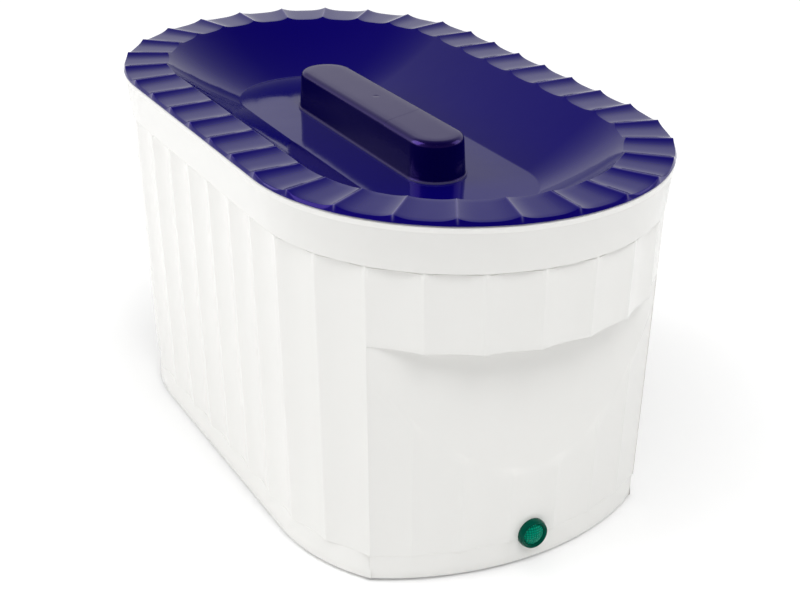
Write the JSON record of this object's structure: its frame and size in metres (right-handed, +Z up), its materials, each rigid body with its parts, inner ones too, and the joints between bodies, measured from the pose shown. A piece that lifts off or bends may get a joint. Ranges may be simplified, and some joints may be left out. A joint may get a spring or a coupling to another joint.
{
  "type": "paraffin bath",
  "caption": "Oblong heated wax bath: fluted housing on feet, scalloped lift-off lid with a bar handle, aluminium tank with a loose grille, pilot lamp and thermostat.",
  "frame": {"origin": "on the table, under the middle of the bath", "axes": "+Y along the long axis, away from the end with the pilot lamp; +Z up"},
  "size_m": [0.228, 0.3974, 0.212],
  "materials": {
    "housing_white": "moulded, smooth semi-gloss",
    "lid_violet": "moulded, glossy",
    "handle_violet": "moulded, fine satin grain",
    "tank_aluminium": "drawn, satin anodised",
    "seal_silicone": "translucent grey",
    "grille_white": "moulded",
    "heater_silicone": "fabric-backed",
    "insulation_felt": "felted fibre",
    "zinc_steel": "bright zinc plate",
    "foot_rubber": "moulded",
    "switch_black": "moulded",
    "block_white": "moulded",
    "brass": "turned",
    "lamp_ring_green": "moulded, glossy",
    "lamp_lens_green": "clear, fine prisms",
    "wire_grey": "sleeved",
    "gland_black": "moulded"
  },
  "bodies": {
    "base": {"housing": "housing_white", "base_plate": "zinc_steel", "base_screws": "zinc_steel", "foot_screws": "zinc_steel", "front_left_foot": "foot_rubber", "front_right_foot": "foot_rubber", "rear_left_foot": "foot_rubber", "rear_right_foot": "foot_rubber", "tank": "tank_aluminium", "tank_seal": "seal_silicone", "heater_mat": "heater_silicone", "heater_band": "heater_silicone", "insulation_pad": "insulation_felt", "insulation_wrap": "insulation_felt", "thermostat_body": "switch_black", "thermal_cutout": "switch_black", "terminal_block": "block_white", "block_screws": "zinc_steel", "earth_stud": "brass", "earth_nut": "brass", "lamp_bezel": "lamp_ring_green", "lamp_lens": "lamp_lens_green", "lamp_body": "switch_black", "lamp_nut": "zinc_steel", "lamp_leads": "wire_grey", "heater_leads": "wire_grey", "cord_gland": "gland_black", "gland_nut": "gland_black"},
    "lid": {"lid_shell": "lid_violet", "lid_handle": "handle_violet", "handle_screws": "zinc_steel"},
    "grille": {"tank_grille": "grille_white"},
    "spindle": {"thermostat_spindle": "brass"}
  },
  "joints": [
    {"name": "lid_lift", "type": "slide", "parent": "base", "child": "lid", "axis": [0, 0, 1], "range_m": [0, 0.25]},
    {"name": "grille_lift", "type": "slide", "parent": "base", "child": "grille", "axis": [0, 0, 1], "range_m": [0, 0.15]},
    {"name": "spindle_turn", "type": "hinge", "parent": "base", "child": "spindle", "pos_m": [0, 0.02, 0.03], "axis": [0, 0, 1], "range_deg": [0, 270]}
  ],
  "couplings": [
    {"joint": "grille_lift", "follows": "lid_lift", "ratio": 0.6}
  ]
}
